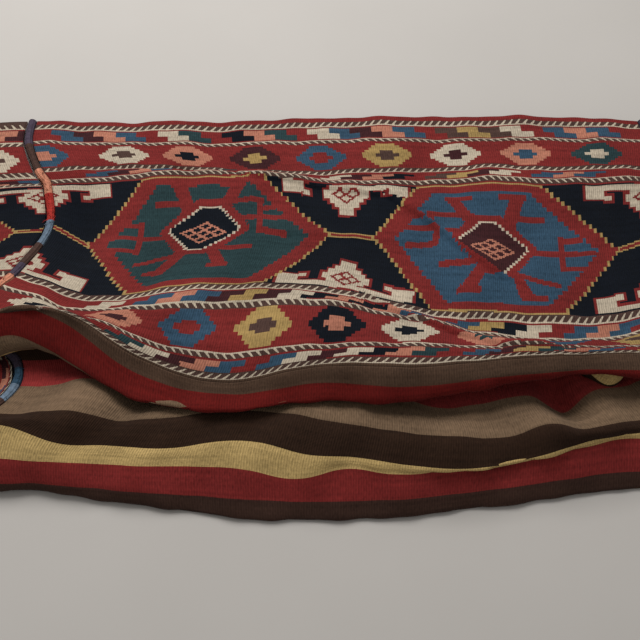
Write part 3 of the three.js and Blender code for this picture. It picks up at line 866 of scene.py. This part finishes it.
# %% The woven wool
def woven_wool(name, roughness, painted_rib_light=PAINTED_RIB_LIGHT):
    """Flat-woven wool: dye from the cells, uneven along the wefts, with ribs and fuzz, and each rib's
    crest painted lighter, as painted light.
    """
    material = bpy.data.materials.new(name)
    material.use_nodes = True
    tree = material.node_tree
    tree.nodes.clear()
    value = {}
    for key, output in (("dye", "Color"), ("woven_mm", "Vector"), ("hook", "Fac")):
        value[key] = add(tree, "ShaderNodeAttribute", attribute_name=key).outputs[output]
    woven = value["woven_mm"]
    wander = add(tree, "ShaderNodeTexNoise", {"Vector": woven, "Scale": WANDER_SCALE, "Detail": 2.0})
    push = add(tree, "ShaderNodeVectorMath", {0: wander.outputs["Color"], 1: WANDER},
               operation="MULTIPLY")
    strayed = add(tree, "ShaderNodeVectorMath", {0: woven, 1: push.outputs[0]}, operation="ADD")
    parts = add(tree, "ShaderNodeSeparateXYZ", {"Vector": strayed.outputs[0]})
    value.update(along=parts.outputs["X"], down=parts.outputs["Y"])
    for key, (scale, detail, size) in UNEVEN_DYE.items():
        place = add(tree, "ShaderNodeVectorMath", {0: woven, 1: scale}, operation="MULTIPLY")
        noise = add(tree, "ShaderNodeTexNoise",
                    {"Vector": place.outputs[0], "Scale": 1.0, "Detail": detail})
        value[key] = noise.outputs["Fac"]
    for key, operation, *going_in in wool_sums(painted_rib_light):
        inputs = {i: value.get(item, item) for i, item in enumerate(going_in)}
        value[key] = add(tree, "ShaderNodeMath", inputs, operation=operation).outputs[0]
    mixed = add(tree, "ShaderNodeMix", {0: value["white"], 6: value["dye"], 7: (*LINEAR[WHITE], 1)},
                data_type="RGBA")
    colour = add(tree, "ShaderNodeVectorMath", {0: mixed.outputs[2], "Scale": value["painted_crest_light_and_dye"]},
                 operation="SCALE")
    bump = add(tree, "ShaderNodeBump",
               {"Strength": BUMP_STRENGTH, "Distance": RIB_DEPTH, "Height": value["height"]})
    shader = add(tree, "ShaderNodeBsdfPrincipled", {
        "Base Color": colour.outputs[0], "Roughness": roughness, "Specular IOR Level": 0.07,
        "Sheen Weight": 0.02, "Sheen Roughness": 0.5, "Normal": bump.outputs["Normal"]})
    add(tree, "ShaderNodeOutputMaterial", {"Surface": shader.outputs["BSDF"]})
    print("material", material.name, "of", len(tree.nodes), "nodes")
    return material


kilim = woven_wool("flat_woven_wool", 0.9)
end_kilim = woven_wool("flat_woven_wool_end", 0.9)
seam_wool = woven_wool("wrapped_wool_yarn", 0.85, painted_rib_light=0.0)

# %% [markdown]
# ## The long strip
# Three sheets make the strip, because a single fine one would be too heavy: the front
# panel in 2.5 mm cells for its pattern, the striped bottom, and the back panel, which
# lies underneath. They meet where the woven pattern changes, so no join is seen.


# %% Front, bottom and back
FRONT_CELL, BOTTOM_CELL, BACK_CELL = (2.5, 2.5), (5, 2.5), (5, 5)   # mm along and down


def strip_piece(name, start, length, cell, ratio, pattern, hooked=None, creased=True):
    """One stretch of the strip, from a distance down it, with its pushes and creases."""
    columns = ratio * round(CLOTH_WIDTH / cell[0] / ratio)
    rows = ratio * round(length / cell[1] / ratio)
    share = np.linspace(0, 1, columns + 1)
    down = start + np.linspace(0, length, rows + 1)
    middle = strip(share, down)
    u, v = np.meshgrid(share * CLOTH_WIDTH, down - start)
    middle = middle + bulges(u, v + start)
    if creased:
        middle = middle + normals_of(middle) * relief(u, v + start)[..., None]
    middle[..., 2] = np.maximum(middle[..., 2], CLOTH_THICK / 2)
    return cloth_piece(name, middle, u, v, CLOTH_THICK, ratio, pattern, kilim, hooked)


front_cloth = strip_piece("front_cloth", 0, PANEL_HEIGHT, FRONT_CELL, 4, front_pattern, front_hooks)
bottom_cloth = strip_piece("bottom_cloth", PANEL_HEIGHT, BOTTOM_DEPTH, BOTTOM_CELL, 2, bottom_pattern)
back_cloth = strip_piece("back_cloth", PANEL_HEIGHT + BOTTOM_DEPTH, PANEL_HEIGHT, BACK_CELL, 2,
                         back_pattern, back_hooks, creased=False)
for cloth in (front_cloth, bottom_cloth, back_cloth):
    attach(cloth, "root")
    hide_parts("body_cloth")

# %% [markdown]
# ## The wrapped seams
# The end panels are joined to the strip by a thick seam, wrapped with wool of several
# colours, a hand's width of each. It is a tube along the strip's edge. Its turns of yarn
# are real ridges, because the seam's outline shows them. Where it is worn, short ends of
# yarn have worked loose, each a thin thread that grows out of the tube.

# %% Along the edge of the strip
TANGENT_STEP = 2   # mm down, and thousandths of the width in, to measure directions over
SEAM_POINTS = 60   # stretches of the strip's edge that a seam's curve is led through


def edge_frame(end, down):
    """Place on the edge, direction past the edge, and direction out of the cloth."""
    share = 0.0 if end < 0 else 1.0
    place = strip(np.array([share]), down)[:, 0]
    inner = strip(np.array([share - end * TANGENT_STEP * MM]), down)[:, 0]
    along = (strip(np.array([share]), down + TANGENT_STEP)
             - strip(np.array([share]), down - TANGENT_STEP))[:, 0]
    along /= np.linalg.norm(along, axis=-1, keepdims=True)
    past = place - inner
    past -= along * np.sum(past * along, axis=-1, keepdims=True)
    past /= np.linalg.norm(past, axis=-1, keepdims=True)
    face = np.cross(along, past) * end
    return place, past, face / np.linalg.norm(face, axis=-1, keepdims=True)


def seam_place(end, down):
    """The middle of a seam, a little past the edge, never lower than the floor."""
    place, past, face = edge_frame(end, down)
    place = place + past * (SEAM_RADIUS + SEAM_GAP)
    place[:, 2] = np.maximum(place[:, 2], SEAM_RADIUS + SEAM_GAP / 2)
    return place


print("left seam starts at", seam_place(-1, np.array([0.0]))[0].round())

# %% The yarns of the seams
SEAM_COLOURS = [(0, PURPLE), (61, BROWN), (120, SEAM_SALMON), (183, SEAM_RED), (249, GREY_BLUE),
                (313, BROWN), (366, PURPLE), (398, SEAM_SALMON), (520, SEAM_RED), (600, NAVY),
                (650, PURPLE), (745, BLUE), (775, GREY_BLUE), (800, BROWN), (850, NAVY),
                (930, SEAM_SALMON), (1010, SEAM_RED), (1100, GREY_BLUE), (1200, BROWN),
                (1300, SEAM_SALMON), (1400, PURPLE)]
WRAP_PITCH = 3.4    # one turn of the wrapping yarn
WRAP_DEPTH = 0.16   # the groove between turns, as a share of the radius
GROOVE_POWER = 3    # the higher, the narrower that groove
SEAM_SIDES = 16
YARN_SWELL = 1.28   # the yarn's fuzz makes the seam look thicker than its core
SEAM_LUMPS = ((0.07, 23, 0), (0.05, 9.7, 1))   # share of the radius, run in mm, start
NO_LOWER = 0.2      # mm over the floor, under which no yarn goes
print(len(SEAM_COLOURS), "lengths of yarn on a seam")

# %% Loose ends of yarn
# down the seam from and to, and how many, for the left seam and the right one
FRAY_SPANS = {-1: ((120, 262, 170), (392, 520, 110), (690, 860, 60)), 1: ((0, 40, 40), (600, 760, 50))}
FRAY_REACH = (4, 11)     # mm that a loose yarn end stands out
FRAY_RADIUS, FRAY_TAPER = 0.8, 0.6   # at its root, and the share of it lost at the tip
FRAY_RINGS, FRAY_SIDES = 4, 3
FRAY_SCATTER = 0.55      # how far its direction strays from straight out
FRAY_DROOP = 0.35        # how far its tip sinks, as a share of its reach
FRAY_SEED = 5


def yarn_ends(end, path, side, other):
    """Short ends of yarn that have worked loose from the seam: a bent, tapering thread each,
    rings of a few corners from root to tip, with how far down the seam each one grows."""
    random = np.random.default_rng(FRAY_SEED + end)
    at = np.concatenate([random.integers(low, high, number) for low, high, number in FRAY_SPANS[end]])
    turn = random.uniform(0, 2 * np.pi, (len(at), 1))
    out = np.cos(turn) * side[at] + np.sin(turn) * other[at]
    lean = out + random.normal(0, FRAY_SCATTER, out.shape)
    lean /= np.linalg.norm(lean, axis=-1, keepdims=True)
    reach = random.uniform(*FRAY_REACH, (len(at), 1, 1))
    share = np.linspace(0, 1, FRAY_RINGS)[None, :, None]
    middle = (path[at] + out * SEAM_RADIUS)[:, None] + lean[:, None] * reach * share
    middle[..., 2] -= (reach * FRAY_DROOP * share ** 2)[..., 0]
    corner = np.linspace(0, 2 * np.pi, FRAY_SIDES, endpoint=False)[:, None]
    ring = np.cos(corner) * side[at][:, None] + np.sin(corner) * other[at][:, None]
    points = middle[:, :, None] + ring[:, None] * (FRAY_RADIUS * (1 - FRAY_TAPER * share))[..., None]
    points[..., 2] = np.maximum(points[..., 2], NO_LOWER)
    return at, points


def thread_faces(count, first):
    """Closed threads: side cells from ring to ring, and a cap at root and tip of each."""
    numbers = first + np.arange(count * FRAY_RINGS * FRAY_SIDES).reshape(count, FRAY_RINGS, FRAY_SIDES)
    turned = np.roll(numbers, -1, axis=2)
    sides = np.stack([numbers[:, :-1], turned[:, :-1], turned[:, 1:], numbers[:, 1:]], axis=-1)
    return sides.reshape(-1, 4).tolist(), numbers[:, 0, ::-1].tolist() + numbers[:, -1].tolist()


print("loose ends", {end: sum(span[2] for span in spans) for end, spans in FRAY_SPANS.items()})


# %% The seams
def smooth_path(points, count):
    """More points on a Catmull-Rom curve through the given ones."""
    share = np.linspace(0, 1, count)
    return np.stack([along_rows(points[None, :, k], share)[0] for k in range(3)], axis=-1)


def seam_piece(name, end, node):
    """A tube along the strip's edge whose radius dips between turns of yarn: at each place
    down it a ring of corners, turned on with the wrap, plus the loose ends."""
    coarse = seam_place(end, np.linspace(0, STRIP_LENGTH, SEAM_POINTS + 1))
    count = STRIP_LENGTH + 1
    path = smooth_path(coarse, count)
    along = np.gradient(path, axis=0)
    along /= np.linalg.norm(along, axis=-1, keepdims=True)
    side = np.array([1.0, 0, 0]) - along * along[:, :1]
    side /= np.linalg.norm(side, axis=-1, keepdims=True)
    other = np.cross(along, side)
    length = np.concatenate([[0], np.cumsum(np.linalg.norm(np.diff(path, axis=0), axis=-1))])
    angle = np.linspace(0, 2 * np.pi, SEAM_SIDES, endpoint=False)
    turn = length[:, None] / WRAP_PITCH + angle / (2 * np.pi)
    groove = WRAP_DEPTH * np.abs(np.cos(np.pi * turn)) ** GROOVE_POWER
    lumps = sum(size * np.sin(length / run + start) for size, run, start in SEAM_LUMPS)
    radius = SEAM_RADIUS * YARN_SWELL * (1 - groove) * (1 + lumps)[:, None]
    ring = (path[:, None] + radius[..., None] * (np.cos(angle)[:, None] * side[:, None]
                                                 + np.sin(angle)[:, None] * other[:, None]))
    ring[..., 2] = np.maximum(ring[..., 2], NO_LOWER)
    numbers = np.arange(count * SEAM_SIDES).reshape(count, SEAM_SIDES)
    closed = np.concatenate([numbers, numbers[:, :1]], axis=1)
    faces = cell_corners(closed).reshape(-1, 4)[:, ::-1].tolist()
    faces += [numbers[0].tolist()[::-1], numbers[-1].tolist()]
    starts, colours = (np.array(column) for column in zip(*SEAM_COLOURS))
    index = np.searchsorted(starts, np.repeat(np.arange(count - 1), SEAM_SIDES), side="right") - 1
    ink = np.concatenate([np.repeat(colours[index], 4),
                          np.full(SEAM_SIDES, colours[0]), np.full(SEAM_SIDES, colours[-1])])
    lengths = np.stack([np.broadcast_to(angle * SEAM_RADIUS, turn.shape),
                        np.broadcast_to(length[:, None], turn.shape), np.zeros(turn.shape)], axis=-1)
    at, threads = yarn_ends(end, path, side, other)
    thread_sides, thread_caps = thread_faces(len(at), ring.shape[0] * ring.shape[1])
    thread_ink = colours[np.searchsorted(starts, at, side="right") - 1]
    ink = np.concatenate([ink, np.repeat(thread_ink, 4 * FRAY_SIDES * (FRAY_RINGS - 1)),
                          np.tile(np.repeat(thread_ink, FRAY_SIDES), 2)])
    points = np.concatenate([ring.reshape(-1, 3), threads.reshape(-1, 3)])
    lengths = np.concatenate([lengths.reshape(-1, 3), threads.reshape(-1, 3)])
    piece = write_mesh(name, points, faces + thread_sides + thread_caps, lengths, ink,
                       np.full(len(ink), NO_HOOKS), seam_wool)
    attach(piece, "root")
    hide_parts(node)


seam_piece("left_seam_wrap", -1, "left_seam")
seam_piece("right_seam_wrap", 1, "right_seam")

# %% [markdown]
# ## The end panels
# Each end panel folds in two leaves between the front seam and the back seam. The left
# one is spread out beside the bag, the right one is tucked in. At each height it is half
# a squared round from seam to seam, and its foot follows the edge of the bottom.

# %% How the end panels fold
FOLD_AT = [0, 154, 270, 380, 470, 530]          # mm down a panel
LEFT_FOLD_OUT = [215, 210, 200, 150, 95, 50]    # and how far its fold reaches there
RIGHT_FOLD_IN = [205, 200, 150, 0, -18, -24]
TUCKED_TO, OUTSIDE_FROM = 375, 435   # the tucked panel comes out of the bag between these
FOOT_FROM = 0.72                     # share of its height from which its foot draws it in
LEAF_SAG = 0.3                       # share by which the tucked leaves sink at the fold
FOLD_SQUARENESS = 0.5                # 1 is a round fold, less is squarer
LYING_FROM, LYING_BY = 0.5, 0.75     # across: the back leaf comes to lie on the floor
SEAM_SIDE = 0.1                      # and rises again over this share beside its seam


def smoothstep(value, start, end):
    """Nought before start, one after end, and an S curve between."""
    t = np.clip((value - start) / (end - start), 0, 1)
    return t * t * (3 - 2 * t)


print("the folds reach", max(LEFT_FOLD_OUT), "mm out and", max(RIGHT_FOLD_IN), "mm in")


# %% An end panel as a function of across and down
def end_edge(end, down, turn):
    """The end panel's own edge, past the seam, or round it and inside as turn goes to 1."""
    place, past, face = edge_frame(end, down)
    reach = SEAM_RADIUS + SEAM_GAP + END_THICK / 2
    angle = (turn * np.pi / 2)[:, None]
    edge = seam_place(end, down) + past * reach * np.cos(angle) - face * reach * np.sin(angle)
    edge[:, 2] = np.maximum(edge[:, 2], END_THICK / 2)
    return edge


def end_middle(end, reaches, tucked, across, down):
    """Rows down by columns across: a squared half round, drawn to the foot at its end."""
    turn = (1 - smoothstep(down, TUCKED_TO, OUTSIDE_FROM)) if tucked else np.zeros(down.shape)
    front = end_edge(end, down, turn)[:, None]
    back = end_edge(end, STRIP_LENGTH - down, turn)[:, None]
    angle = (np.pi * across)[None, :]
    turn = turn[:, None]
    place = front + (back - front) * across[None, :, None]
    reach = np.interp(down, FOLD_AT, reaches)[:, None] * np.sin(angle).clip(0) ** FOLD_SQUARENESS
    place[..., 0] += reach * (-end if tucked else end)
    half = (front[..., 2] - back[..., 2]) / 2 * (1 - turn * LEAF_SAG * np.sin(angle))
    cosine = np.cos(angle)
    place[..., 2] = ((front[..., 2] + back[..., 2]) / 2
                     + half * np.sign(cosine) * np.abs(cosine) ** FOLD_SQUARENESS)
    lying = (smoothstep(across, LYING_FROM, LYING_BY) * smoothstep(1 - across, 0, SEAM_SIDE))[None, :]
    place[..., 2] -= (back[..., 2] - END_THICK / 2) * lying * (1 - turn)
    foot = end_edge(end, PANEL_HEIGHT + BOTTOM_DEPTH * across, np.zeros(across.shape))[None]
    pull = smoothstep(down / PANEL_HEIGHT, FOOT_FROM, 1)[:, None, None]
    place = place + (foot - place) * pull
    place[..., 2] = np.maximum(place[..., 2], END_THICK / 2)
    return place


left_fold = end_middle(-1, LEFT_FOLD_OUT, False, np.array([0.5]), np.array([0.0]))[0, 0]
print("the left panel's fold at the rim is at", left_fold.round())

# %% Crumples, and an even weave
END_CELL, END_RATIO = 3.2, 3      # mm, and fine cells to a coarse one
FINE_SHARES, FINE_ROWS = 1201, 8  # places across and down that the weave is evened out over
CRUMPLE = {-1: 2.0, 1: 5.0}       # height of the end panels' crumples, left and right
CRUMPLE_WAVES = ((11, 5, 0.4), (5, 14, 2.1), (9, -12, 4.4))   # across, down, start
CRUMPLE_FADE = 0.07               # share of each side that gets smoother towards its seam


def crumples(across, down):
    """Crossing waves, as of cloth pushed into a heap, that fade towards the seams."""
    total = sum(np.sin(2 * np.pi * (along * across + deep * down) + start)
                for along, deep, start in CRUMPLE_WAVES) / 2
    edge = np.minimum(np.minimum(across, 1 - across), 1 - down)
    return total * smoothstep(edge, 0, CRUMPLE_FADE)


def even_shares(end, reaches, tucked, count):
    """Shares across an end panel that lie equally far apart on the cloth."""
    dense = np.linspace(0, 1, FINE_SHARES)
    sampled = np.linspace(0, PANEL_HEIGHT * FOOT_FROM, FINE_ROWS)
    rows = end_middle(end, reaches, tucked, dense, sampled)
    steps = np.linalg.norm(np.diff(rows, axis=1), axis=-1).mean(axis=0)
    length = np.concatenate([[0], np.cumsum(steps)])
    return np.interp(np.linspace(0, length[-1], count), length, dense)


def woven_across(middle):
    """How far across the weave each place is: its length along its row, scaled to the flat."""
    steps = np.linalg.norm(np.diff(middle, axis=1), axis=-1)
    length = np.concatenate([np.zeros((len(middle), 1)), np.cumsum(steps, axis=1)], axis=1)
    return length / length[:, -1:] * BOTTOM_DEPTH


print("shares across", even_shares(-1, LEFT_FOLD_OUT, False, 5).round(2))


# %% End panels
def end_piece(name, end, reaches, tucked, node):
    """An end panel as a closed sheet, its face outwards on both ends."""
    columns, rows = (END_RATIO * round(side / END_CELL / END_RATIO)
                     for side in (BOTTOM_DEPTH, PANEL_HEIGHT))
    across = even_shares(end, reaches, tucked, columns + 1)
    down = np.linspace(0, PANEL_HEIGHT, rows + 1)
    middle = end_middle(end, reaches, tucked, across, down)
    share, v = np.meshgrid(across, down)
    u = woven_across(middle)
    heap = crumples(share, v / PANEL_HEIGHT)[..., None] * CRUMPLE[end]
    middle = middle + normals_of(middle) * heap
    middle[..., 2] = np.maximum(middle[..., 2], END_THICK / 2)
    if end < 0:
        middle, u, v = middle[:, ::-1], u[:, ::-1], v[:, ::-1]
    piece = cloth_piece(name, middle, u, v, END_THICK, END_RATIO, end_pattern, end_kilim,
                        end_hooks)
    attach(piece, "root")
    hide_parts(node)


end_piece("left_end_cloth", -1, LEFT_FOLD_OUT, False, "left_end_panel")
end_piece("right_end_cloth", 1, RIGHT_FOLD_IN, True, "right_end_panel")

# %% [markdown]
# ## Floor, light and camera
# A pale floor, a soft even sky and one large soft lamp behind the bag, so that the lower
# sides of the folds fall into shade. The camera stands in front and looks down steeply.

# %% Floor
FLOOR_HALF = 6000    # mm
FLOOR_BELOW = 0.5    # mm under the bag, so that the two never share a plane
FLOOR_TONES = "a39e98", "aca7a1"


def floor_piece():
    """A large square a hair below the bag."""
    corners = np.array([(-1, -1), (1, -1), (1, 1), (-1, 1)]) * FLOOR_HALF * MM
    mesh = bpy.data.meshes.new("floor")
    mesh.from_pydata([(x, y, -FLOOR_BELOW * MM) for x, y in corners], [], [(0, 1, 2, 3)])
    material = bpy.data.materials.new("pale_matt_floor")
    material.use_nodes = True
    tree = material.node_tree
    tree.nodes.clear()
    place = add(tree, "ShaderNodeTexCoord").outputs["Object"]
    tone = add(tree, "ShaderNodeTexNoise", {"Vector": place, "Scale": 3.0, "Detail": 4.0})
    ramp = add(tree, "ShaderNodeValToRGB", {"Fac": tone.outputs["Fac"]})
    for element, colour in zip(ramp.color_ramp.elements, FLOOR_TONES):
        element.color = (*linear(colour), 1)
    shader = add(tree, "ShaderNodeBsdfPrincipled", {"Base Color": ramp.outputs["Color"], "Roughness": 0.8})
    add(tree, "ShaderNodeOutputMaterial", {"Surface": shader.outputs["BSDF"]})
    mesh.materials.append(material)
    floor = bpy.data.objects.new("floor", mesh)
    bpy.context.scene.collection.objects.link(floor)
    return floor


floor = floor_piece()
print("floor", floor.name)

# %% Lights
LAMP_PLACE = (-0.5, 1.5, 2.2)   # m
LAMP_WIDTH = 1.6                # m
LAMP_WATTS = 83
SKY_STRENGTH = 0.42


def sky_and_lamp():
    """An even sky, and one large lamp aimed at the bag."""
    world = bpy.data.worlds.new("studio_sky")
    world.use_nodes = True
    world.node_tree.nodes["Background"].inputs["Color"].default_value = (1, 1, 1, 1)
    world.node_tree.nodes["Background"].inputs["Strength"].default_value = SKY_STRENGTH
    bpy.context.scene.world = world
    light = bpy.data.lights.new("soft_lamp", "AREA")
    light.energy = LAMP_WATTS
    light.size = LAMP_WIDTH
    lamp = bpy.data.objects.new("soft_lamp", light)
    x, y, z = LAMP_PLACE
    lamp.location = LAMP_PLACE
    lamp.rotation_euler = (math.atan2(math.hypot(x, y), z), 0, math.atan2(y, x) + math.pi / 2)
    bpy.context.scene.collection.objects.link(lamp)
    print(lamp.name, light.energy, "W,", light.size, "m wide")


sky_and_lamp()

# %% Camera
CAMERA_PLACE = (0, -963, 1478)     # mm, before the shift
LOOK_DOWN = math.radians(58)
PICTURE_PX, FOCAL_PX = 640, 1132   # width and focal length in pixels of the picture
SENSOR = 36                        # mm

camera_data = bpy.data.cameras.new("camera")
camera_data.sensor_width = SENSOR
camera_data.lens = FOCAL_PX / PICTURE_PX * SENSOR
camera = bpy.data.objects.new("camera", camera_data)
camera.location = np.array(CAMERA_PLACE) * MM + SHIFT
camera.rotation_euler = (math.pi / 2 - LOOK_DOWN, 0, 0)
bpy.context.scene.collection.objects.link(camera)
bpy.context.scene.camera = camera
print("lens", round(camera_data.lens, 1), "mm")

# %% [markdown]
# ## Finish
# The colours are shown plainly, without a film look, and the imported parts are
# only hidden, not removed.

# %% Colour view
bpy.context.scene.view_settings.view_transform = "Standard"
